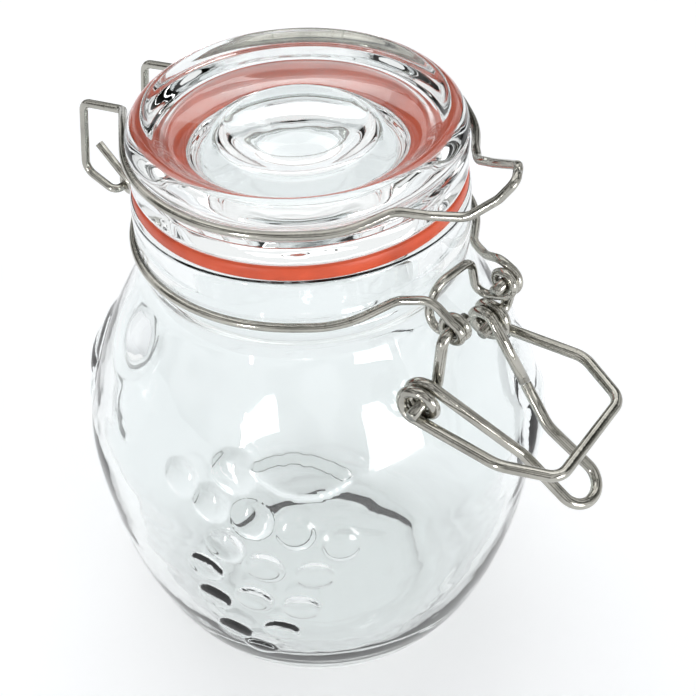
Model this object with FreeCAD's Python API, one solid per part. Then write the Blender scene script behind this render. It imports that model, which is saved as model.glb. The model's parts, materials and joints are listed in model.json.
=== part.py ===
"""Clip-top storage jar: glass jar and lid, rubber seal and sprung wire clip.

Millimetres, +Z up.  The origin is on the jar's axis, in the plane that it stands on.
The front, with the latch, is -Y and the lid hinge is +Y.  Each wire is a round bar that
follows straight runs joined by tangent arcs.
"""
import FreeCAD, Part
import math
import os

V = FreeCAD.Vector
AXIS = V(0, 0, 1)
BACK = V(0, 1, 0)
ORIGIN = V(0, 0, 0)

# --- glass jar ---------------------------------------------------------------
BODY_R = 45.8                 # widest radius of the bowl
BODY_Z = 52.0                 # height of the widest ring
WALL = 3.6                    # glass thickness of bowl and shoulder
FOOT_R = 26.0                 # outer edge of the ring that it stands on
FOOT_WIDTH = 4.0
PUNT_RISE = 1.6               # hollow under the base
BASE_THICK = 6.2
FLOOR_R = 20.0                # flat part of the floor inside
SHOULDER = [(44.2, 60.0), (41.2, 70.0), (36.6, 80.0), (31.8, 88.5)]
BOWL = [(44.8, 40.0), (43.0, 30.0), (40.1, 20.0), (35.8, 10.0), (31.5, 3.6)]
RIM_Z = 106.9                 # top of the rim, where the seal lies
RIM_R = 31.9
RIM_ROUND = 0.8
NECK_R = RIM_R - 1.0
NECK_Z = RIM_Z - 14.9
BEAD_R = RIM_R - 0.2          # ring of glass under the wire groove
BEAD_Z = RIM_Z - 12.5
BEAD_HALF = 1.3               # half its height
MOUTH_R = 21.6
MOUTH_Z = RIM_Z - 11.9        # bottom of the straight mouth

# --- moulded fruit on the bowl -----------------------------------------------
RELIEF_PROUD = 1.5            # how far a small bump stands out of the glass
GRAPE_R = 4.0
GRAPE_AZIMUTH = -62.0         # degrees from the front, + towards +X
GRAPE_PITCH = 11.4            # degrees between grapes of a row
GRAPE_ROWS = [(60.5, 4), (51.5, 3), (43.0, 4), (34.0, 3), (25.5, 2)]   # (height, grapes)
BIG_PROUD = 2.4
PEAR_AZIMUTH = 30.0
PEAR_LOBES = [(50.0, 17.0), (66.0, 11.5)]            # (height, radius) of each round lobe
APPLE_AZIMUTH = 120.0
APPLE_LOBES = [(55.0, 18.0)]
LEMON_AZIMUTH = -150.0
LEMON_LOBES = [(48.0, 11.0), (57.0, 15.0), (68.0, 11.0)]

# --- seal and glass lid ------------------------------------------------------
LID_R = RIM_R - 0.5
SEAL_R = LID_R
SEAL_BORE_R = MOUTH_R - 0.5
SEAL_THICK = 3.0
LID_Z = RIM_Z + SEAL_THICK    # underside of the lid's rim
PLUG_R = SEAL_BORE_R - 0.4
PLUG_DRAFT = 0.4              # the plug narrows by this much
PLUG_DEPTH = 4.5
PLUG_EDGE = [(18.4, 5.5), (5.0, 3.6), (0.0, 3.6)]    # (radius, depth) under the lid
LID_LIP = (LID_R + 0.1, 9.0)                         # (radius, height) over the seal
LID_CREST = (28.6, 12.4)
LID_TOP = [(22.5, 8.8), (16.5, 8.0), (15.0, 7.6), (13.0, 9.6)]
LID_CENTRE = 10.2
LID_FLAT_R = 2.0              # level middle of the dome

# --- wires -------------------------------------------------------------------
WIRE = 1.7                    # lid wire and neck wire
LATCH_WIRE = 2.2              # links and latch
WIRE_GAP = 0.30               # between a wire and the glass or a loose eye
PIVOT_GAP = 0.06              # running clearance of the lid hinge
BUTT = 0.2                    # seam where the two ends of a bent wire meet
LID_WIRE_R = LID_R + 0.35     # centreline of the ring in the lid's groove
LID_WIRE_Z = LID_Z + 7.1
NECK_WIRE_R = RIM_R + 0.25
NECK_WIRE_Z = RIM_Z - 9.6

# lid hinge: a bar of the lid wire runs in two eyes of the neck wire
HINGE_Y = NECK_WIRE_R + 9.35
HINGE_Z = NECK_WIRE_Z - 4.8
FRAME_X = 8.8                 # half width of the lid wire's frame
FRAME = [(4.25, -3.4), (15.15, -5.6)]                # its corners, out and up from the lid ring
FRAME_FOOT = (7.7, 2.5)       # its lowest corner, out and up from the hinge
FRAME_BEND = 2.6
BAR_BEND = 1.7
HOOK_X = 4.0                  # where the neck wire reaches the bar
HOOK_SHIFT = 2.0              # sideways travel of the wire round the bar
HOOK_TAIL = 9.5
HOOK_TAIL_FROM = -228.0       # degrees round the bar where the tail leaves it
HOOK_BEND = 2.2

# nose of the lid wire, which the latch hooks over: (x, forward of the ring, up from the ring) of
# its corners from the ring to the tip, bent by hand a little off the middle
NOSE_LEFT = [(-11.8, 1.42, 2.0), (-9.3, 5.84, 1.8), (-7.0, 11.43, 2.6), (-4.4, 15.46, 6.6),
             (-2.4, 17.34, 9.9)]
NOSE_RIGHT = [(12.2, 1.69, 1.5), (9.4, 3.07, 1.6), (6.3, 7.88, 4.8), (1.6, 15.09, 10.0)]
NOSE_X = 12.91                # where the ring lets go
NOSE_BEND = 4.5
NOSE_TIP_BEND = 1.9

# front of the neck wire: an arm, an eye and an arch, in (x, forward of the ring, up from the ring)
EYE_X = 8.2
EYE_Y = -NECK_WIRE_R - 8.45
EYE_Z = NECK_WIRE_Z - 1.9
EYE_TURNS = 1.0               # full turns added to the half turn of the eye
EYE_PITCH = WIRE + 0.1
ARM_LEFT = [(-12.7, 2.06, 3.3), (-10.4, 6.98, 4.5)]
ARM_RIGHT = [(12.0, 1.07, 0.7), (10.6, 4.25, 0.1), (9.4, 7.85, 1.7)]
ARM_X = 13.59                 # where the ring lets go
ARM_BEND = 4.0
ARCH_LEFT = [(-6.2, 1.15, -6.3), (-4.9, 2.83, 3.1)]
ARCH_RIGHT = [(6.2, 4.05, -5.5), (4.6, 3.58, 3.1)]
ARCH_BEND = 3.0

# links: separate hooks that hang in the eyes and carry the latch
LINK_INNER_X = 4.6            # cut end of the pin in the eye
LINK_OUTER_X = 11.5           # where the pin turns down
LINK_BEND = 2.0
LINK_END = 1.0                # length of pin past the latch eye

# latch: one wire, two loops and an eye at each end of its axis, hanging a little askew
LATCH_NEAR = V(-16.2, EYE_Y + 1.0, EYE_Z - 12.2)     # centre of the pin in the -X eye
LATCH_FAR = V(7.2, EYE_Y + 1.8, EYE_Z - 9.4)         # centre of the pin in the +X eye
LATCH_EYE_R = LATCH_WIRE + WIRE_GAP + 0.6            # centreline of the eye, loose on its pin
LATCH_PITCH = LATCH_WIRE + WIRE_GAP
LATCH_TURNS = 1.0             # full turns added to the half turn of the eye
HANDLE_DROP = 11.5            # degrees below level
HANDLE = [(15.0, 18.4), (10.6, 28.5)]                # (half width, distance from the eye)
HANDLE_BENDS = [7.0, 3.4]
BAIL_DROP = 38.0
BAIL = [(4.1, 21.0), (4.5, 35.8)]
BAIL_BENDS = [9.0, 4.3]

BEND_STEP = 30.0              # degrees of arc between corners of a ring or coil


def polar(radius, degrees, z):
    """Point at an angle from the front, + towards +X."""
    a = math.radians(degrees)
    return V(radius * math.sin(a), -radius * math.cos(a), z)


def cut_corner(before, corner, after, radius, limit):
    """Arc that rounds one corner, as large as the limit on its tangents allows."""
    into, out = (corner - before).normalize(), (after - corner).normalize()
    turn = into.getAngle(out)
    if turn < 1e-6:
        return None
    reach = limit if radius is None else min(radius * math.tan(turn / 2), limit)
    bend = reach / math.tan(turn / 2)
    middle = (out - into).normalize()
    apex = corner + middle * (bend / math.cos(turn / 2) - bend)
    return corner - into * reach, apex, corner + out * reach


def route(corners, closed=False):
    """Wire through (point, bend radius) corners; a radius of None bends as widely as it can."""
    points = [V(p) for p, _ in corners]
    count = len(points)
    arcs = {}
    for i in range(count) if closed else range(1, count - 1):
        before, here, after = points[i - 1], points[i], points[(i + 1) % count]
        ends = [not closed and i == 1, not closed and i == count - 2]
        reaches = [side.Length * (1.0 if free else 0.5)
                   for side, free in zip((here - before, after - here), ends)]
        arc = cut_corner(before, here, after, corners[i][1], min(reaches))
        if arc:
            arcs[i] = arc
    edges = []
    last = None
    order = list(range(count)) + ([0] if closed else [])
    for step, i in enumerate(order):
        arc = arcs.get(i)
        entry = arc[0] if arc else points[i]
        if last is not None and (entry - last).Length > 1e-5:
            edges.append(Part.makeLine(last, entry))
        if arc and not (closed and step == count):
            edges.append(Part.Arc(*arc).toShape())
        last = arc[2] if arc else points[i]
    return Part.Wire(edges)


def bar(corners, diameter, closed=False):
    """Round bar along a route."""
    spine = route(corners, closed)
    start = spine.OrderedEdges[0]
    tangent = start.tangentAt(start.FirstParameter)
    section = Part.Wire(Part.makeCircle(diameter / 2, start.valueAt(start.FirstParameter), tangent))
    return spine.makePipeShell([section], True, False)


def coil(centre, across, up, along, radius, start, sweep, advance):
    """Corners of an eye: angles in degrees from across towards up, and travel along its axis."""
    count = max(1, round(abs(sweep) / BEND_STEP))
    step = sweep / count
    reach = radius / math.cos(math.radians(step) / 2)
    corners = []
    for i in range(count):
        share = (i + 0.5) / count
        a = math.radians(start + step * (i + 0.5))
        point = centre + (across * math.cos(a) + up * math.sin(a)) * reach + along * (advance * share)
        corners.append((point, None))
    return corners


def leaves(x, radius):
    """Angle from the front or the back at which a ring is this far from the middle plane."""
    return math.degrees(math.asin(x / radius))


def ring(radius, z, start, end):
    """Corners of a level ring between two angles from the front."""
    count = max(1, round(abs(end - start) / BEND_STEP))
    step = (end - start) / count
    reach = radius / math.cos(math.radians(step) / 2)
    return [(polar(reach, start + step * (i + 0.5), z), None) for i in range(count)]


def profile(edges):
    """Solid of revolution from the edges of a closed outline in the XZ plane."""
    return Part.Face(Part.Wire(edges)).revolve(ORIGIN, AXIS, 360)


def bent(points, ring_r, ring_z, bend):
    """Corners in front of a ring, from (x, forward, up) points."""
    return [(V(x, -math.sqrt(ring_r ** 2 - x ** 2) - out, ring_z + up), bend) for x, out, up in points]


def at(point):
    return V(point[0], 0, point[1])


def straight(*points):
    """Lines through (radius, height) points."""
    return [Part.makeLine(at(a), at(b)) for a, b in zip(points, points[1:])]


def smooth(points, leaves, arrives):
    """Smooth curve through (radius, height) points with a direction at each end."""
    lengths = [0.0]
    for before, here in zip(points, points[1:]):
        lengths.append(lengths[-1] + math.dist(before, here))
    curve = Part.BSplineCurve()
    held = [at(leaves)] + [V()] * (len(points) - 2) + [at(arrives)]
    curve.interpolate([at(p) for p in points], Parameters=lengths, Tangents=held,
                      TangentFlags=[i in (0, len(points) - 1) for i in range(len(points))], Scale=False)
    return [curve.toShape()]


def groove(wire_r, wire_z, low, high):
    """Groove for a ring of wire in a wall between two (radius, height) points."""
    size = WIRE / 2 + WIRE_GAP
    ends = []
    for point, way in ((low, -1), (high, 1)):
        ends.append((point[0], wire_z + way * math.sqrt(size ** 2 - (wire_r - point[0]) ** 2)))
    hollow = Part.Arc(at(ends[0]), at((wire_r - size, wire_z)), at(ends[1])).toShape()
    return straight(low, ends[0]) + [hollow] + straight(ends[1], high)


def inward(points):
    """Outline of the inside of the wall, one wall thickness in from each inner point."""
    inside = []
    for before, here, after in zip(points, points[1:], points[2:]):
        run, rise = after[0] - before[0], after[1] - before[1]
        size = math.hypot(run, rise) / WALL
        inside.append((here[0] - rise / size, here[1] + run / size))
    return inside


def body_radius(height):
    """Radius of the bowl's plain surface at a height."""
    points = sorted([(z, r) for r, z in SHOULDER + BOWL] + [(BODY_Z, BODY_R), (0.0, FOOT_R),
                                                            (NECK_Z, NECK_R)])
    for (z0, r0), (z1, r1) in zip(points, points[1:]):
        if z0 <= height <= z1:
            return r0 + (r1 - r0) * (height - z0) / (z1 - z0)
    return NECK_R


def bump(radius, proud, azimuth, height):
    """Ball sunk in the wall so that only a cap of it stands out."""
    return Part.makeSphere(radius, polar(body_radius(height) + proud - radius, azimuth, height))


def relief():
    """Moulded fruit, four motifs round the bowl."""
    bumps = []
    for height, count in GRAPE_ROWS:
        first = GRAPE_AZIMUTH - GRAPE_PITCH * (count - 1) / 2
        bumps += [bump(GRAPE_R, RELIEF_PROUD, first + GRAPE_PITCH * i, height) for i in range(count)]
    for azimuth, lobes in ((PEAR_AZIMUTH, PEAR_LOBES), (APPLE_AZIMUTH, APPLE_LOBES),
                           (LEMON_AZIMUTH, LEMON_LOBES)):
        bumps += [bump(radius, BIG_PROUD, azimuth, height) for height, radius in lobes]
    return bumps


def jar_body():
    shoulder = [(BODY_R, BODY_Z)] + SHOULDER + [(NECK_R, NECK_Z)]
    bowl = [(BODY_R, BODY_Z)] + BOWL + [(FOOT_R, 0.0)]
    foot_in = FOOT_R - FOOT_WIDTH
    bead = Part.Arc(at((NECK_R, NECK_Z)), at((BEAD_R, BEAD_Z)),
                    at((RIM_R, BEAD_Z + BEAD_HALF))).toShape()
    outer = (straight((0.0, PUNT_RISE), (foot_in - 2 * PUNT_RISE, PUNT_RISE), (foot_in, 0.0),
                      (FOOT_R, 0.0))
             + smooth(list(reversed(bowl)), (1, 0), (0, 1))
             + smooth(shoulder, (0, 1), (0, 1))
             + [bead]
             + groove(NECK_WIRE_R, NECK_WIRE_Z, (RIM_R, BEAD_Z + BEAD_HALF), (RIM_R, RIM_Z - RIM_ROUND))
             + [Part.Arc(at((RIM_R, RIM_Z - RIM_ROUND)),
                         at((RIM_R - RIM_ROUND * (1 - math.sqrt(0.5)),
                             RIM_Z - RIM_ROUND * (1 - math.sqrt(0.5)))),
                         at((RIM_R - RIM_ROUND, RIM_Z))).toShape()]
             + straight((RIM_R - RIM_ROUND, RIM_Z), (0.0, RIM_Z), (0.0, PUNT_RISE)))
    wall = inward(list(reversed(bowl))) + [(BODY_R - WALL, BODY_Z)] + inward(shoulder)
    wall = [point for point in wall if point[1] > BASE_THICK + WALL / 2 and point[0] > MOUTH_R]
    inner = (straight((0.0, BASE_THICK), (FLOOR_R, BASE_THICK))
             + smooth([(FLOOR_R, BASE_THICK)] + wall + [(MOUTH_R, MOUTH_Z)], (1, 0), (0, 1))
             + straight((MOUTH_R, MOUTH_Z), (MOUTH_R, RIM_Z + WALL), (0.0, RIM_Z + WALL),
                        (0.0, BASE_THICK)))
    return profile(outer).fuse(relief()).cut(profile(inner)).removeSplitter().Solids[0]


def seal():
    ring_out = Part.makeCylinder(SEAL_R, SEAL_THICK, V(0, 0, RIM_Z))
    return ring_out.cut(Part.makeCylinder(SEAL_BORE_R, SEAL_THICK, V(0, 0, RIM_Z))).Solids[0]


def lid_glass():
    under = [(LID_R, LID_Z), (PLUG_R, LID_Z), (PLUG_R - PLUG_DRAFT, LID_Z - PLUG_DEPTH)]
    under += [(r, LID_Z - depth) for r, depth in PLUG_EDGE]
    top = [(r, LID_Z + height) for r, height in LID_TOP]
    crest = (LID_CREST[0], LID_Z + LID_CREST[1])
    lip = (LID_LIP[0], LID_Z + LID_LIP[1])
    outline = (groove(LID_WIRE_R, LID_WIRE_Z, (LID_R, LID_Z), lip)
               + straight(lip, crest, *top)
               + smooth([top[-1], (LID_FLAT_R, LID_Z + LID_CENTRE)], (-1, 0), (-1, 0))
               + straight((LID_FLAT_R, LID_Z + LID_CENTRE), (0.0, LID_Z + LID_CENTRE), under[-1])
               + straight(*reversed(under)))
    return profile(outline)


def lid_wire():
    """One closed wire: ring in the lid's groove, nose in front, frame and hinge bar behind."""
    front, back = leaves(NOSE_X, LID_WIRE_R), 180.0 - leaves(FRAME_X, LID_WIRE_R)
    frame = [(LID_WIRE_R + out, LID_WIRE_Z + up) for out, up in FRAME]
    frame.append((HINGE_Y + FRAME_FOOT[0], HINGE_Z + FRAME_FOOT[1]))
    sides = []
    for way, nose in ((1, NOSE_RIGHT), (-1, NOSE_LEFT)):
        side = bent(nose[-1:], LID_WIRE_R, LID_WIRE_Z, NOSE_TIP_BEND)
        side += bent(nose[-2::-1], LID_WIRE_R, LID_WIRE_Z, NOSE_BEND)
        side += ring(LID_WIRE_R, LID_WIRE_Z, way * front, way * back)
        side += [(V(way * FRAME_X, y, z), FRAME_BEND) for y, z in frame]
        side.append((V(way * FRAME_X, HINGE_Y, HINGE_Z), BAR_BEND))
        sides.append(side)
    right, left = sides
    across = (right[0][0] - left[0][0]).normalize()
    seam = (right[0][0] + left[0][0]) * 0.5
    return bar([(seam + across * BUTT, None)] + right + left[::-1] + [(seam, None)], WIRE)


def neck_side(way, arm, arch):
    """Half of the neck wire, from its cut end at the hinge bar to the arch in front."""
    right = V(way, 0, 0)
    start = V(way * HOOK_X, math.sqrt(NECK_WIRE_R ** 2 - HOOK_X ** 2), NECK_WIRE_Z)
    bar_centre = V(start.x, HINGE_Y, HINGE_Z)
    hook_r = WIRE + PIVOT_GAP
    gap = bar_centre - start
    dive = math.degrees(math.atan2(-gap.z, gap.y)) - math.degrees(math.asin(hook_r / gap.Length))
    first, last = 90.0 - dive, HOOK_TAIL_FROM
    hook = coil(bar_centre, BACK, AXIS, right, hook_r, first, last - first, HOOK_SHIFT)
    a = math.radians(last)
    tail_start = bar_centre + right * HOOK_SHIFT + (BACK * math.cos(a) + AXIS * math.sin(a)) * hook_r
    tail = tail_start + (BACK * math.sin(a) - AXIS * math.cos(a)) * HOOK_TAIL
    side = [(tail, None)] + hook[::-1] + [(start, HOOK_BEND)]
    front, back = leaves(ARM_X, NECK_WIRE_R), 180.0 - leaves(HOOK_X, NECK_WIRE_R)
    side += ring(NECK_WIRE_R, NECK_WIRE_Z, way * back, way * front)
    side += bent(arm, NECK_WIRE_R, NECK_WIRE_Z, ARM_BEND)
    width = EYE_PITCH * (EYE_TURNS + 0.5)
    eye = V(way * (EYE_X + width / 2), EYE_Y, EYE_Z)
    eye_r = LATCH_WIRE / 2 + WIRE_GAP + WIRE / 2
    side += coil(eye, BACK * -1, AXIS, right * -1, eye_r, 90.0, -180.0 - 360.0 * EYE_TURNS, width)
    return side + bent(arch, NECK_WIRE_R, NECK_WIRE_Z, ARCH_BEND)


def neck_wire():
    """One wire: a hooked end at the hinge bar, ring, arm, eye, arch and the same back again."""
    return bar(neck_side(1, ARM_RIGHT, ARCH_RIGHT) + neck_side(-1, ARM_LEFT, ARCH_LEFT)[::-1], WIRE)


def link(way, pin, along):
    """Hook that hangs from an eye: way is +1 or -1 for the side, pin the centre in the latch eye."""
    half = LATCH_PITCH * (LATCH_TURNS + 0.5) / 2 + LATCH_WIRE / 2
    turn_down = pin + along * (half + WIRE_GAP + LATCH_WIRE / 2)
    cut_end = pin - along * (half + LINK_END)
    corners = [(V(way * LINK_INNER_X, EYE_Y, EYE_Z), None),
               (V(way * LINK_OUTER_X, EYE_Y, EYE_Z), LINK_BEND),
               (turn_down, LINK_BEND), (cut_end, None)]
    return bar(corners, LATCH_WIRE)


def latch_axes():
    """Middle of the latch's axis, and unit vectors along it, forward and up."""
    along = (LATCH_FAR - LATCH_NEAR).normalize()
    forward = along.cross(AXIS).normalize()
    return (LATCH_NEAR + LATCH_FAR) * 0.5, along, forward, forward.cross(along)


def latch():
    """Bent wire with two loops that share the eye at each end of the axis."""
    middle, along, forward, up = latch_axes()
    reach = (LATCH_FAR - LATCH_NEAR).Length / 2
    width = LATCH_PITCH * (LATCH_TURNS + 0.5)
    slack = LATCH_EYE_R - LATCH_WIRE - WIRE_GAP
    centre = middle - forward * slack

    def loop(points, bends, drop):
        way = forward * math.cos(math.radians(drop)) - up * math.sin(math.radians(drop))
        side = [(centre + along * s + way * d, bend) for (s, d), bend in zip(points, bends)]
        other = [(centre - along * s + way * d, bend) for (s, d), bend in zip(points, bends)]
        return side, other

    handle, handle_back = loop(HANDLE, HANDLE_BENDS, HANDLE_DROP)
    bail, bail_back = loop(BAIL, BAIL_BENDS, BAIL_DROP)
    first = -90.0 - HANDLE_DROP
    sweep = -(360.0 * LATCH_TURNS + 180.0 - HANDLE_DROP + BAIL_DROP)
    far = coil(centre + along * (reach + width / 2), forward, up, along * -1, LATCH_EYE_R,
               first, sweep, width)
    near = coil(centre - along * (reach + width / 2), forward, up, along, LATCH_EYE_R,
                first, sweep, width)
    seam = (bail[0][0] + (far[-1][0] - bail[0][0]) * 0.4)
    gap = (bail[0][0] - seam).normalize() * BUTT
    corners = ([(seam + gap, None)] + bail + list(reversed(bail_back)) + list(reversed(near))
               + handle_back + list(reversed(handle)) + far + [(seam, None)])
    return bar(corners, LATCH_WIRE)


def main():
    os.makedirs("parts", exist_ok=True)
    along = (LATCH_FAR - LATCH_NEAR).normalize()
    parts = {
        "jar_body": jar_body(),
        "lid_seal": seal(),
        "lid_glass": lid_glass(),
        "lid_wire": lid_wire(),
        "neck_wire": neck_wire(),
        "link_near": link(-1, LATCH_NEAR, along),
        "link_far": link(1, LATCH_FAR, along),
        "latch_wire": latch(),
    }
    for name, shape in parts.items():
        shape.exportStep(f"parts/{name}.step")
        box = shape.BoundBox
        print(name, shape.ShapeType, len(shape.Solids), shape.isValid(), round(shape.Volume, 1),
              [round(v, 2) for v in (box.XMin, box.YMin, box.ZMin, box.XMax, box.YMax, box.ZMax)])


main()
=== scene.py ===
"""Clip-top storage jar: pressed glass jar with fruit in relief, glass lid, rubber seal and wire clip.

Lengths in the settings are metres.  The outlines below are millimetres, as (radius, height) from the
jar's axis and from the plane that it stands on.
"""

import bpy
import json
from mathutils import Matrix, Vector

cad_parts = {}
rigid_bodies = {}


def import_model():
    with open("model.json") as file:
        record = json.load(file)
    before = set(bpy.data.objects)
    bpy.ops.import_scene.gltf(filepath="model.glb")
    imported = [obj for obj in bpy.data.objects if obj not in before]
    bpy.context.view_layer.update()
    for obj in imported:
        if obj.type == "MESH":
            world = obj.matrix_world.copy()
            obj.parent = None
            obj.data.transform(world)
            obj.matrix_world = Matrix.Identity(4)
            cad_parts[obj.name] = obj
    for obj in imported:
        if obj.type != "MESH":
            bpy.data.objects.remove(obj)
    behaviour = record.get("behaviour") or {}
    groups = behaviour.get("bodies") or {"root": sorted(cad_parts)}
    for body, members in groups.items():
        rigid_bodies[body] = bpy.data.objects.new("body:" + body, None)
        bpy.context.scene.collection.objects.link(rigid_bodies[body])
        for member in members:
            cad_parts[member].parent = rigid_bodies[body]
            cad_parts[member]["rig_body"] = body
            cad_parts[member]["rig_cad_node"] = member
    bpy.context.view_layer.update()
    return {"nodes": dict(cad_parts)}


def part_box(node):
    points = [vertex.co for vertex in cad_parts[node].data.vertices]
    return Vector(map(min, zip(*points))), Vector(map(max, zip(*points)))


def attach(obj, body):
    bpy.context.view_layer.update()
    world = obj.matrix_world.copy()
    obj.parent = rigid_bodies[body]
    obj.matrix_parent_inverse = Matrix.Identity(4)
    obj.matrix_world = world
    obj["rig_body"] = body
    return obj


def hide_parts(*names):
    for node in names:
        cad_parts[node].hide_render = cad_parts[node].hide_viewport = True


bl_info = {
    "name": "Clip-Top Jar",
    "version": (1, 0, 0),
    "blender": (4, 5, 0),
    "location": "3D View > Sidebar > Jar",
    "description": "Builds a clip-top storage jar of pressed glass on a plain stage",
    "category": "Object",
}

import json
import math

import bpy
from bpy.props import FloatProperty, FloatVectorProperty, IntProperty, PointerProperty
from mathutils import Quaternion, Vector

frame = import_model()

MM = 0.001
UP = Vector((0, 0, 1))
JAR_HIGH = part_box("jar_body")[1]
SEAL_LOW, SEAL_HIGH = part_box("lid_seal")
SAME_POINT = 2e-6             # metres: points of a mesh that are nearer than this are one
LEAST_SPAN = 1e-6             # millimetres: shortest run of an outline that is divided by

# --- outlines, from the middle outwards -----------------------------------------------------
FOOT = [(0.0, 1.6), (10.0, 1.6), (18.8, 1.6), (20.6, 1.2), (22.0, 0.3), (22.8, 0.0), (25.2, 0.0)]
BOWL = [(25.2, 0.0), (26.6, 0.5), (28.6, 1.7), (31.5, 3.6), (35.8, 10.0), (40.1, 20.0), (43.0, 30.0),
        (44.8, 40.0), (45.8, 52.0), (44.2, 60.0), (41.2, 70.0), (36.6, 80.0), (31.8, 88.5), (30.9, 92.0)]
NECK = [(30.9, 92.0), (31.2, 92.8), (31.6, 93.8), (31.7, 94.4), (31.85, 95.2), (31.88, 96.0),
        (31.5, 96.35), (31.08, 97.0), (31.08, 97.6), (31.5, 98.25), (31.88, 98.6), (31.88, 101.5),
        (31.88, 104.5), (31.85, 106.1), (31.6, 106.6), (31.1, 106.86), (28.0, 106.88), (22.4, 106.86),
        (21.8, 106.6), (21.6, 106.0), (21.6, 101.0), (21.6, 95.0)]
INSIDE = [(21.6, 95.0), (23.0, 91.9), (28.0, 86.6), (33.0, 78.9), (37.8, 68.6), (40.7, 59.1), (42.2, 52.0),
          (41.3, 40.6), (39.6, 31.0), (36.8, 21.4), (32.6, 12.4), (27.5, 7.8), (22.0, 6.3), (16.0, 6.2)]
FLOOR = [(16.0, 6.2), (8.0, 6.2), (0.0, 6.2)]

LID_TOP = [(0.0, 10.2), (2.0, 10.18), (6.0, 10.12), (10.0, 9.95), (12.4, 9.6), (13.6, 9.0), (14.4, 8.1),
           (15.3, 7.7), (16.6, 7.9), (19.5, 8.35), (22.4, 8.75), (23.6, 9.1), (25.6, 10.6), (27.4, 12.0),
           (28.6, 12.36), (29.6, 11.9), (30.8, 10.6), (31.4, 9.4), (31.5, 8.6)]
LID_SIDE = [(31.5, 8.6), (31.45, 8.12), (31.0, 7.9), (30.66, 7.4), (30.66, 6.8), (31.0, 6.3), (31.4, 6.05),
            (31.4, 3.5), (31.38, 0.9), (31.15, 0.3), (30.6, 0.04)]
LID_UNDER = [(30.6, 0.04), (26.0, 0.02), (21.0, 0.0), (20.65, -0.3), (20.5, -2.5), (20.2, -4.1),
             (19.6, -4.9), (18.4, -5.4), (15.0, -5.0), (10.0, -4.2), (5.0, -3.65), (0.0, -3.6)]
SEAL = [(21.15, 0.5), (21.5, 0.06), (22.0, 0.02), (30.7, 0.02), (31.2, 0.12), (31.38, 0.4), (31.38, 2.6),
        (31.2, 2.88), (30.7, 2.98), (22.0, 2.98), (21.5, 2.94), (21.15, 2.5)]

# --- distance between the rows of faces, in millimetres --------------------------------------
FOOT_PITCH = 2.4
NECK_PITCH = 0.9
INSIDE_PITCH = 2.2
FLOOR_PITCH = 4.0
LID_TOP_PITCH = 0.8
LID_SIDE_PITCH = 0.6
LID_UNDER_PITCH = 1.0
SEAL_STEPS = 192              # faces round the seal

# --- fruit in relief: azimuth from the front in degrees, + towards +X, height and radius -----
GRAPES = [(-71.4, 69.5, 4.4), (-77.2, 61.9, 3.8), (-66.2, 60.8, 4.0), (-55.7, 58.4, 3.7), (-44.8, 55.6, 3.7),
          (-73.3, 53.4, 3.9), (-63.4, 49.3, 3.9), (-51.7, 47.9, 3.9), (-79.3, 45.7, 3.8), (-67.4, 39.0, 3.8),
          (-55.5, 37.5, 3.8), (-78.7, 36.1, 3.5), (-75.7, 24.9, 3.4), (-62.1, 28.4, 3.7), (-69.7, 18.9, 3.2),
          (-86.0, 65.1, 3.8)]
LOW_GRAPES = 50.0             # below this height they stand out less
LOW_SHARE = 0.7               # of the other grapes' relief
LEAF = (-53.9, 69.6)          # middle of the leaf over the grapes
LEAF_ANGLE = 12.0             # half its width, in degrees
LEAF_HALF = 3.2               # half its height
LEAF_SLANT = 0.8              # how far its right end hangs lower
LEAF_EDGE = 1.4               # width of its sloping edge
LEAF_SHARE = 0.8              # of a grape's relief
PEAR = [(30.0, 50.0, 11.6), (30.0, 64.0, 8.8)]
APPLE = [(122.0, 55.0, 12.5)]
LEMON = [(-156.0, 44.0, 8.6), (-156.0, 53.0, 11.4), (-156.0, 63.0, 8.6)]
STALKS = [(30.0, 74.5, 3.0), (122.0, 69.0, 3.0)]
STALK_SHARE = 0.6             # of a grape's relief
SHOULDER_LEAF = (-119.0, 83.0, 11.0)

# --- parts of the bowl's glass, in metres and degrees ------------------------------------------
FINE_SIDES = (-97.0, -34.0)   # azimuths of the stretch with finer faces, round the grapes
FINE_BAND = (0.012, 0.078)    # its heights
SKIN_R = 0.0345               # the outer skin is outside this radius at the top and the bottom
SKIN_MORE = 0.0085            # and outside this much more at the middle
SKIN_MIDDLE = 0.048           # height of the middle
SKIN_REACH = 0.034            # distance over which that falls off
LEAF_SKIN_R = 0.0392          # the same where the leaf is
NECK_BORE_R = 0.029           # nothing inside this radius is outer skin

# --- lights: place, aim, width and height, in metres ---------------------------------------------
WINDOW = ((-0.13, -0.72, 0.11), (0, 0, 0.08), 0.34, 0.26)
OVERHEAD = ((0.25, 0.35, 1.1), (0, 0, 0.05), 1.2, 1.2)
SIDE_STRIP = ((-0.75, -0.06, 0.10), (0, 0, 0.07), 0.03, 0.20)
SIDE_SHARE = 0.4              # of the window light's power
FLOOR_SIZE = 6.0
FLOOR_Z = -0.0001             # just under the foot of the jar

# --- outputs of Light Path and Texture Coordinate, by their place in the node ---------------------
CAMERA_RAY, SHADOW_RAY, GLOSSY_RAY, TRANSMISSION_RAY = 0, 1, 3, 6
GENERATED, OBJECT = 0, 3


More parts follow.
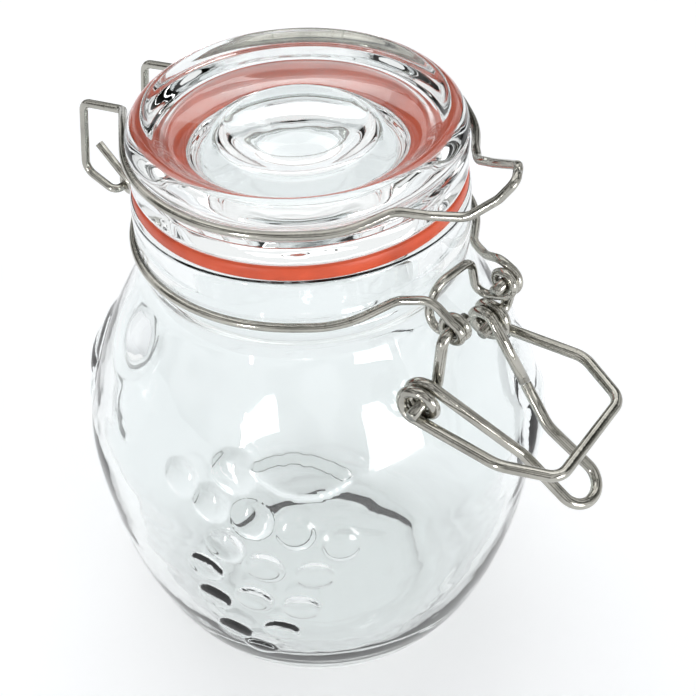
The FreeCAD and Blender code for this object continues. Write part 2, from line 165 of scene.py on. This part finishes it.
# --- shader building ---------------------------------------------------------------------------
class Value:
    """A number socket of a node tree, on which Python's own arithmetic adds Math nodes."""

    def __init__(self, shader, socket):
        self.shader, self.socket = shader, socket

    def math(self, operation, left, right=None):
        values = {0: left} if right is None else {0: left, 1: right}
        return self.shader.node("ShaderNodeMath", {"operation": operation}, values)[0]

    def __add__(self, other):
        return self.math("ADD", self, other)

    def __sub__(self, other):
        return self.math("SUBTRACT", self, other)

    def __rsub__(self, other):
        return self.math("SUBTRACT", other, self)

    def __mul__(self, other):
        return self.math("MULTIPLY", self, other)

    def clamp(self, low, high):
        values = {0: self, 1: low, 2: high}
        return self.shader.node("ShaderNodeClamp", {}, values)[0]

    __radd__ = __add__
    __rmul__ = __mul__


class Shader:
    """Node tree of a material or a world."""

    def __init__(self, owner):
        owner.use_nodes = True
        self.owner, self.tree = owner, owner.node_tree
        self.tree.nodes.clear()

    def node(self, kind, settings=None, values=None):
        """Adds a node: its settings first, then the values or links of its inputs."""
        made = self.tree.nodes.new(kind)
        for name, setting in (settings or {}).items():
            if name == "stops":
                ramp = made.color_ramp.elements
                while len(ramp) < len(setting):
                    ramp.new(1.0)
                for stop, (place, colour) in zip(ramp, setting):
                    stop.position, stop.color = place, (*colour, 1.0)
            else:
                setattr(made, name, setting)
        for name, value in (values or {}).items():
            socket = made.inputs[name]
            if isinstance(value, Value):
                self.tree.links.new(value.socket, socket)
            elif socket.type == "RGBA" and len(value) == 3:
                socket.default_value = (*value, 1.0)
            else:
                socket.default_value = value
        return [Value(self, out) for out in made.outputs]

    def output(self, surface, kind="ShaderNodeOutputMaterial"):
        self.node(kind, {}, {"Surface": surface})
        return self.owner

    def place(self):
        """Position on the piece itself, in metres."""
        return self.node("ShaderNodeTexCoord")[OBJECT]

    def noise(self, size, detail):
        """Noise whose features are about this size, in metres."""
        values = {"Vector": self.place(), "Scale": 1.0 / size, "Detail": detail}
        return self.node("ShaderNodeTexNoise", {}, values)[0]

    def bump(self, height, depth):
        values = {"Height": height, "Distance": depth, "Strength": 1.0}
        return self.node("ShaderNodeBump", {}, values)[0]


def clear_glass(name, tint, wave, ripple):
    """Clear pressed glass with the slow waves of its mould and a fine ripple."""
    s = Shader(bpy.data.materials.new(name))
    height = s.noise(0.020, 0.5) + s.noise(0.006, 1.0) * ripple
    normal = s.bump(height, wave)
    glass = s.node("ShaderNodeBsdfPrincipled", {}, {
        "Base Color": tuple(tint), "Transmission Weight": 1.0, "IOR": 1.5, "Roughness": 0.0,
        "Normal": normal})[0]
    through = s.node("ShaderNodeBsdfTransparent", {}, {"Color": (0.93, 0.95, 0.95)})[0]
    shadow = s.node("ShaderNodeLightPath")[SHADOW_RAY] * 0.5
    mixed = s.node("ShaderNodeMixShader", {}, {0: shadow, 1: glass, 2: through})[0]
    return s.output(mixed)


def plated_wire(name, colour):
    """Bright plated wire: fine grain, small dull patches and dark specks in the pits."""
    s = Shader(bpy.data.materials.new(name))
    patches = s.noise(0.006, 3.0)
    fine = s.noise(0.0006, 4.0)
    specks = s.node("ShaderNodeValToRGB", {"stops": [(0.62, (0, 0, 0)), (0.72, (1, 1, 1))]},
                    {"Fac": s.noise(0.0011, 2.0)})[0]
    dull = s.node("ShaderNodeValToRGB", {"stops": [
        (0.3, tuple(c * 0.8 for c in colour)), (0.5, tuple(colour)),
        (0.7, tuple(c * 1.12 for c in colour))]}, {"Fac": patches})[0]
    tone = s.node("ShaderNodeMix", {"data_type": "RGBA"},
                  {0: specks * 0.35, 6: dull, 7: (0.16, 0.15, 0.12)})[2]
    rough = (patches * 0.2 + fine * 0.08 - 0.02).clamp(0.05, 0.4)
    normal = s.bump(fine + specks * -0.4, 0.00003)
    wire = s.node("ShaderNodeBsdfPrincipled", {}, {
        "Base Color": tone, "Metallic": 1.0, "Roughness": rough, "Normal": normal})[0]
    return s.output(wire)


def seal_rubber(name, colour):
    """Smooth orange rubber, a little uneven in colour."""
    s = Shader(bpy.data.materials.new(name))
    cloud = s.noise(0.009, 3.0)
    grain = s.noise(0.0007, 3.0)
    tone = s.node("ShaderNodeValToRGB", {"stops": [
        (0.32, tuple(c * 0.78 for c in colour)), (0.55, tuple(colour)),
        (0.75, (colour[0] * 1.05, colour[1] * 1.35, colour[2] * 1.6))]}, {"Fac": cloud})[0]
    normal = s.bump(grain, 0.00004)
    rubber = s.node("ShaderNodeBsdfPrincipled", {}, {
        "Base Color": tone, "Roughness": (grain * 0.15 + 0.33), "Specular IOR Level": 0.45,
        "Normal": normal})[0]
    return s.output(rubber)


# --- modelling -----------------------------------------------------------------------------------
def fair(points, pitch):
    """Points about one pitch apart on a smooth curve through an outline."""
    ends = [points[0]] + points + [points[-1]]
    curve = []
    for before, here, after, beyond in zip(ends, ends[1:], ends[2:], ends[3:]):
        first, middle, last = (max(math.dist(a, b), LEAST_SPAN)
                               for a, b in ((before, here), (here, after), (after, beyond)))
        leaving = [middle * (q - p) / (first + middle) for p, q in zip(before, after)]
        arriving = [middle * (q - p) / (middle + last) for p, q in zip(here, beyond)]
        steps = max(1, round(middle / pitch))
        for i in range(steps):
            t = i / steps
            weights = (2 * t ** 3 - 3 * t ** 2 + 1, t ** 3 - 2 * t ** 2 + t,
                       3 * t ** 2 - 2 * t ** 3, t ** 3 - t ** 2)
            curve.append(tuple(weights[0] * here[k] + weights[1] * leaving[k]
                               + weights[2] * after[k] + weights[3] * arriving[k] for k in (0, 1)))
    return curve + [points[-1]]


def joined(*runs):
    """One outline from runs that share their end points."""
    whole = list(runs[0])
    for run in runs[1:]:
        whole += run[1:]
    return whole


def turned(name, outline, base, steps, closed=False):
    """Piece turned round the jar's axis from an outline in millimetres above a base height."""
    points = [Vector((r * MM, 0, base + z * MM)) for r, z in outline]
    bpy.ops.object.select_all(action="DESELECT")
    bpy.ops.mesh.primitive_plane_add(size=MM, location=(0, 0, 0))
    piece = bpy.context.object
    piece.name = piece.data.name = name
    bpy.ops.object.mode_set(mode="EDIT")
    bpy.ops.mesh.select_all(action="SELECT")
    bpy.ops.mesh.merge(type="CENTER")
    bpy.ops.transform.translate(value=points[0])
    for before, here in zip(points, points[1:] + (points[:1] if closed else [])):
        bpy.ops.mesh.extrude_region_move(TRANSFORM_OT_translate={"value": here - before})
    bpy.ops.mesh.select_all(action="SELECT")
    bpy.ops.mesh.spin(steps=steps, angle=2 * math.pi, center=(0, 0, 0), axis=UP)
    bpy.ops.mesh.select_all(action="SELECT")
    bpy.ops.mesh.remove_doubles(threshold=SAME_POINT)
    bpy.ops.mesh.normals_make_consistent(inside=False)
    bpy.ops.object.mode_set(mode="OBJECT")
    return piece


def away(azimuth):
    """Level direction out of the jar at an azimuth."""
    a = math.radians(azimuth)
    return Vector((math.sin(a), -math.cos(a), 0))


def bearing(vertex):
    return math.degrees(math.atan2(vertex.co.x, -vertex.co.y))


def skin_point(piece, azimuth, height):
    """Index of the outer vertex nearest to an azimuth and a height."""
    out = away(azimuth)

    def miss(vertex):
        flat = Vector((vertex.co.x, vertex.co.y, 0))
        if flat.length < NECK_BORE_R:
            return 1.0
        aside = (flat.normalized() - out).length * flat.length
        return aside + abs(vertex.co.z - height * MM) - flat.length

    return min(piece.data.vertices, key=miss).index


def on_fine_skin(vertex):
    """Whether a vertex is on the stretch of the bowl's outer skin that carries the grapes."""
    middle = max(0.0, 1.0 - abs(vertex.co.z - SKIN_MIDDLE) / SKIN_REACH)
    return (FINE_SIDES[0] < bearing(vertex) < FINE_SIDES[1]
            and FINE_BAND[0] < vertex.co.z < FINE_BAND[1]
            and math.hypot(vertex.co.x, vertex.co.y) > SKIN_R + SKIN_MORE * middle)


def select_only(piece, wanted):
    """Selects the vertices that a test picks, and nothing else, and opens edit mode."""
    bpy.ops.object.mode_set(mode="EDIT")
    bpy.ops.mesh.select_mode(type="VERT")
    bpy.ops.mesh.select_all(action="DESELECT")
    bpy.ops.object.mode_set(mode="OBJECT")
    for vertex in piece.data.vertices:
        vertex.select = wanted(vertex)
    bpy.ops.object.mode_set(mode="EDIT")


def pull_out(azimuth, proud, falloff, size):
    """Moves the selected vertices out of the glass and draws their neighbours along."""
    bpy.ops.transform.translate(
        value=away(azimuth) * proud, use_proportional_edit=True, proportional_edit_falloff=falloff,
        proportional_size=size * MM, use_proportional_connected=True)
    bpy.ops.object.mode_set(mode="OBJECT")


def swell(piece, azimuth, height, size, proud, falloff="SPHERE"):
    """Raises a round swelling out of the glass."""
    index = skin_point(piece, azimuth, height)
    select_only(piece, lambda vertex: vertex.index == index)
    pull_out(azimuth, proud, falloff, size)


def smooth(piece, angle):
    bpy.ops.object.select_all(action="DESELECT")
    piece.select_set(True)
    bpy.context.view_layer.objects.active = piece
    bpy.ops.object.shade_smooth_by_angle(angle=math.radians(angle))


def put(piece, node, body, material):
    """Stands a finished piece in for its plain node."""
    piece.data.materials.clear()
    piece.data.materials.append(material)
    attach(piece, body)
    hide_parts(node)


# --- settings ------------------------------------------------------------------------------------
class GlassSettings(bpy.types.PropertyGroup):
    belly: FloatProperty(name="Belly radius", description="Widest radius of the jar's plain surface",
                         default=JAR_HIGH.x, min=0.02, unit="LENGTH")
    steps: IntProperty(name="Steps", description="Faces round the jar", default=320, min=32, max=512)
    pitch: FloatProperty(name="Row pitch", description="Height of the rows of faces, in millimetres",
                         default=1.0, min=0.4, max=6.0)
    relief: FloatProperty(name="Relief", description="How far a grape stands out of the glass",
                          default=0.0011, min=0.0, unit="LENGTH")
    fruit: FloatProperty(name="Large fruit", description="How far the large fruit stand out",
                         default=0.0017, min=0.0, unit="LENGTH")
    wave: FloatProperty(name="Wave", description="Depth of the waves in the glass", default=0.0004,
                        min=0.0, unit="LENGTH", precision=5)
    tint: FloatVectorProperty(name="Tint", description="Colour of the glass", subtype="COLOR",
                              default=(0.915, 0.94, 0.938), min=0.0, max=1.0)


class FittingSettings(bpy.types.PropertyGroup):
    seal: FloatVectorProperty(name="Seal", description="Colour of the rubber seal", subtype="COLOR",
                              default=(0.66, 0.085, 0.028), min=0.0, max=1.0)
    wire: FloatVectorProperty(name="Wire", description="Colour of the plated wire", subtype="COLOR",
                              default=(0.42, 0.41, 0.37), min=0.0, max=1.0)
    blend: FloatProperty(name="Smoothing angle", description="Edges flatter than this are shaded smooth",
                         default=math.radians(42), subtype="ANGLE")


class StageSettings(bpy.types.PropertyGroup):
    floor: FloatVectorProperty(name="Floor", description="Colour of the floor", subtype="COLOR",
                               default=(0.93, 0.93, 0.93), min=0.0, max=1.0)
    eye: FloatVectorProperty(name="Camera", description="Place of the camera", subtype="XYZ",
                             unit="LENGTH", default=(-0.20253, -0.17605, 0.29132))
    target: FloatVectorProperty(name="Aim", description="Point that the camera looks at", subtype="XYZ",
                                unit="LENGTH", default=(0.00467, -0.00568, 0.06503))
    roll: FloatProperty(name="Roll", description="Tilt of the camera about its own line of sight",
                        default=math.radians(-2.74), subtype="ANGLE")
    lens: FloatProperty(name="Lens", description="Focal length in millimetres on a 36 mm sensor",
                        default=89.97, min=10.0)
    key: FloatProperty(name="Key light", description="Power of the window light, in watts", default=2.6)
    fill: FloatProperty(name="Fill light", description="Power of the overhead light, in watts", default=5.0)


# --- pieces --------------------------------------------------------------------------------------
class JAR_OT_bowl(bpy.types.Operator):
    """Turn the glass jar, then press the fruit into its skin"""

    bl_idname = "jar.bowl"
    bl_label = "Glass Jar"

    def execute(self, context):
        s = context.scene.jar_glass
        outline = joined(fair(FOOT, FOOT_PITCH), fair(BOWL, s.pitch), fair(NECK, NECK_PITCH),
                         fair(INSIDE, INSIDE_PITCH), fair(FLOOR, FLOOR_PITCH))
        scale = s.belly / (max(r for r, _ in BOWL) * MM)
        piece = turned("glass_jar", [(min(r * scale, s.belly / MM), z) for r, z in outline], 0.0, s.steps)
        select_only(piece, on_fine_skin)
        bpy.ops.mesh.subdivide(number_cuts=1, smoothness=1.0)
        bpy.ops.object.mode_set(mode="OBJECT")
        for azimuth, height, size in GRAPES:
            swell(piece, azimuth, height, size, s.relief * (1.0 if height > LOW_GRAPES else LOW_SHARE))
        for azimuth, height, size in PEAR + APPLE + LEMON:
            swell(piece, azimuth, height, size, s.fruit)
        for azimuth, height, size in STALKS:
            swell(piece, azimuth, height, size, s.relief * STALK_SHARE)
        swell(piece, *SHOULDER_LEAF, s.fruit, "SMOOTH")
        self.leaf(piece, s.relief)
        smooth(piece, 60)
        put(piece, "jar_body", "jar", clear_glass("Jar Glass", s.tint, s.wave, 0.12))
        return {"FINISHED"}

    @staticmethod
    def leaf(piece, proud):
        """Lens-shaped vine leaf over the grapes."""
        azimuth, height = LEAF

        def inside(vertex):
            across = (bearing(vertex) - azimuth) / LEAF_ANGLE
            rise = (vertex.co.z / MM - height + across * LEAF_SLANT) / LEAF_HALF
            return (abs(across) < 1 and abs(rise) < 1 - across ** 2
                    and math.hypot(vertex.co.x, vertex.co.y) > LEAF_SKIN_R)

        select_only(piece, inside)
        pull_out(azimuth, proud * LEAF_SHARE, "SMOOTH", LEAF_EDGE)


class JAR_OT_lid(bpy.types.Operator):
    """Turn the glass lid with its raised rim, moat and lens"""

    bl_idname = "jar.lid"
    bl_label = "Glass Lid"

    def execute(self, context):
        s = context.scene.jar_glass
        outline = joined(fair(LID_TOP, LID_TOP_PITCH), fair(LID_SIDE, LID_SIDE_PITCH),
                         fair(LID_UNDER, LID_UNDER_PITCH))
        piece = turned("glass_lid", outline, SEAL_HIGH.z, s.steps * 3 // 4)
        smooth(piece, 60)
        put(piece, "lid_glass", "lid", clear_glass("Lid Glass", s.tint, s.wave * 1.3, 0.1))
        return {"FINISHED"}


class JAR_OT_seal(bpy.types.Operator):
    """Turn the rubber seal that lies between rim and lid"""

    bl_idname = "jar.seal"
    bl_label = "Rubber Seal"

    def execute(self, context):
        piece = turned("rubber_seal", SEAL, SEAL_LOW.z, SEAL_STEPS, closed=True)
        smooth(piece, 50)
        put(piece, "lid_seal", "lid",
            seal_rubber("Seal Rubber", context.scene.jar_fittings.seal))
        return {"FINISHED"}


class JAR_OT_clip(bpy.types.Operator):
    """Finish the five bent wires of the clip"""

    bl_idname = "jar.clip"
    bl_label = "Wire Clip"

    WIRES = (("lid_wire", "lid", "lid_hoop"), ("neck_wire", "jar", "neck_hoop"),
             ("link_near", "links", "link_hook_left"), ("link_far", "links", "link_hook_right"),
             ("latch_wire", "latch", "latch_bail"))

    def execute(self, context):
        s = context.scene.jar_fittings
        steel = plated_wire("Plated Wire", s.wire)
        for node, body, name in self.WIRES:
            bpy.ops.object.select_all(action="DESELECT")
            frame["nodes"][node].select_set(True)
            context.view_layer.objects.active = frame["nodes"][node]
            bpy.ops.object.duplicate()
            piece = context.object
            piece.parent = None
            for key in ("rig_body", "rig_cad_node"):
                if key in piece:
                    del piece[key]
            piece.name = piece.data.name = name
            bpy.ops.object.mode_set(mode="EDIT")
            bpy.ops.mesh.select_all(action="SELECT")
            bpy.ops.mesh.remove_doubles(threshold=SAME_POINT)
            bpy.ops.object.mode_set(mode="OBJECT")
            smooth(piece, math.degrees(s.blend))
            put(piece, node, body, steel)
        return {"FINISHED"}


# --- stage ---------------------------------------------------------------------------------------
def area_light(name, power, place, aim, width, height):
    bpy.ops.object.light_add(type="AREA", location=place)
    lamp = bpy.context.object
    lamp.name = name
    lamp.data.shape = "RECTANGLE"
    lamp.data.size, lamp.data.size_y, lamp.data.energy = width, height, power
    lamp.rotation_euler = (Vector(aim) - Vector(place)).to_track_quat("-Z", "Y").to_euler()


class JAR_OT_stage(bpy.types.Operator):
    """Set the floor, the soft lights and the camera"""

    bl_idname = "jar.stage"
    bl_label = "Stage"

    def execute(self, context):
        s = context.scene.jar_stage
        bpy.ops.object.select_all(action="DESELECT")
        bpy.ops.mesh.primitive_plane_add(size=FLOOR_SIZE, location=(0, 0, FLOOR_Z))
        floor = context.object
        floor.name = "floor"
        floor.data.materials.append(self.paper(s.floor))
        area_light("window", s.key, *WINDOW)
        area_light("overhead", s.fill, *OVERHEAD)
        area_light("side strip", s.key * SIDE_SHARE, *SIDE_STRIP)
        self.room(context)
        bpy.ops.object.camera_add(location=s.eye)
        camera = context.object
        camera.name = "camera"
        camera.data.lens, camera.data.sensor_width = s.lens, 36.0
        camera.data.clip_start = 0.01
        look = (Vector(s.target) - Vector(s.eye)).to_track_quat("-Z", "Y") @ Quaternion((0, 0, 1), s.roll)
        camera.rotation_euler = look.to_euler()
        context.scene.camera = camera
        context.scene.view_settings.view_transform = "Standard"
        return {"FINISHED"}

    @staticmethod
    def paper(colour):
        """White paper that keeps the jar's shadow."""
        s = Shader(bpy.data.materials.new("Stage Paper"))
        path = s.node("ShaderNodeLightPath")
        seen = (path[CAMERA_RAY] + path[GLOSSY_RAY] + path[TRANSMISSION_RAY]).clamp(0.0, 1.0)
        paper = s.node("ShaderNodeBsdfDiffuse", {}, {"Color": tuple(colour)})[0]
        glow = s.node("ShaderNodeEmission", {}, {"Color": (1.0, 1.0, 1.0), "Strength": seen * 0.27})[0]
        return s.output(s.node("ShaderNodeAddShader", {}, {0: paper, 1: glow})[0])

    @staticmethod
    def room(context):
        """Pale room, white where it is seen, with light and dark patches for the reflections."""
        world = bpy.data.worlds.new("Room")
        context.scene.world = world
        s = Shader(world)
        path = s.node("ShaderNodeLightPath")
        way = s.node("ShaderNodeTexCoord")[GENERATED]
        band = s.node("ShaderNodeTexNoise", {}, {"Vector": way, "Scale": 2.4, "Detail": 1.0})[0]
        tone = s.node("ShaderNodeValToRGB", {"stops": [
            (0.42, (0.05, 0.052, 0.045)), (0.50, (0.30, 0.30, 0.29)),
            (0.58, (1.0, 1.0, 1.0))]}, {"Fac": band})[0]
        plain = (path[CAMERA_RAY] + path[TRANSMISSION_RAY]).clamp(0.0, 1.0)
        dim = s.node("ShaderNodeBackground", {}, {"Color": (0.80, 0.82, 0.85), "Strength": 0.62})[0]
        mirror = s.node("ShaderNodeBackground", {}, {"Color": tone, "Strength": 1.0})[0]
        white = s.node("ShaderNodeBackground", {}, {"Color": (1.0, 1.0, 1.0), "Strength": 1.0})[0]
        first = s.node("ShaderNodeMixShader", {}, {0: path[GLOSSY_RAY], 1: dim, 2: mirror})[0]
        last = s.node("ShaderNodeMixShader", {}, {0: plain, 1: first, 2: white})[0]
        s.output(last, "ShaderNodeOutputWorld")


class JAR_PT_panel(bpy.types.Panel):
    """Buttons and settings of the jar"""

    bl_idname = "JAR_PT_panel"
    bl_label = "Clip-Top Jar"
    bl_space_type = "VIEW_3D"
    bl_region_type = "UI"
    bl_category = "Jar"

    def draw(self, context):
        for operator in OPERATORS:
            self.layout.operator(operator.bl_idname)
        for group in (context.scene.jar_glass, context.scene.jar_fittings, context.scene.jar_stage):
            box = self.layout.box()
            for name in group.__annotations__:
                box.prop(group, name)


SETTINGS = (("jar_glass", GlassSettings), ("jar_fittings", FittingSettings), ("jar_stage", StageSettings))
OPERATORS = (JAR_OT_bowl, JAR_OT_lid, JAR_OT_seal, JAR_OT_clip, JAR_OT_stage)


def register():
    for name, group in SETTINGS:
        bpy.utils.register_class(group)
        setattr(bpy.types.Scene, name, PointerProperty(type=group))
    for each in OPERATORS + (JAR_PT_panel,):
        bpy.utils.register_class(each)


def unregister():
    for each in reversed(OPERATORS + (JAR_PT_panel,)):
        bpy.utils.unregister_class(each)
    for name, group in reversed(SETTINGS):
        delattr(bpy.types.Scene, name)
        bpy.utils.unregister_class(group)


def main():
    register()
    for step in (bpy.ops.jar.bowl, bpy.ops.jar.lid, bpy.ops.jar.seal, bpy.ops.jar.clip, bpy.ops.jar.stage):
        step()


if __name__ == "__main__":
    main()
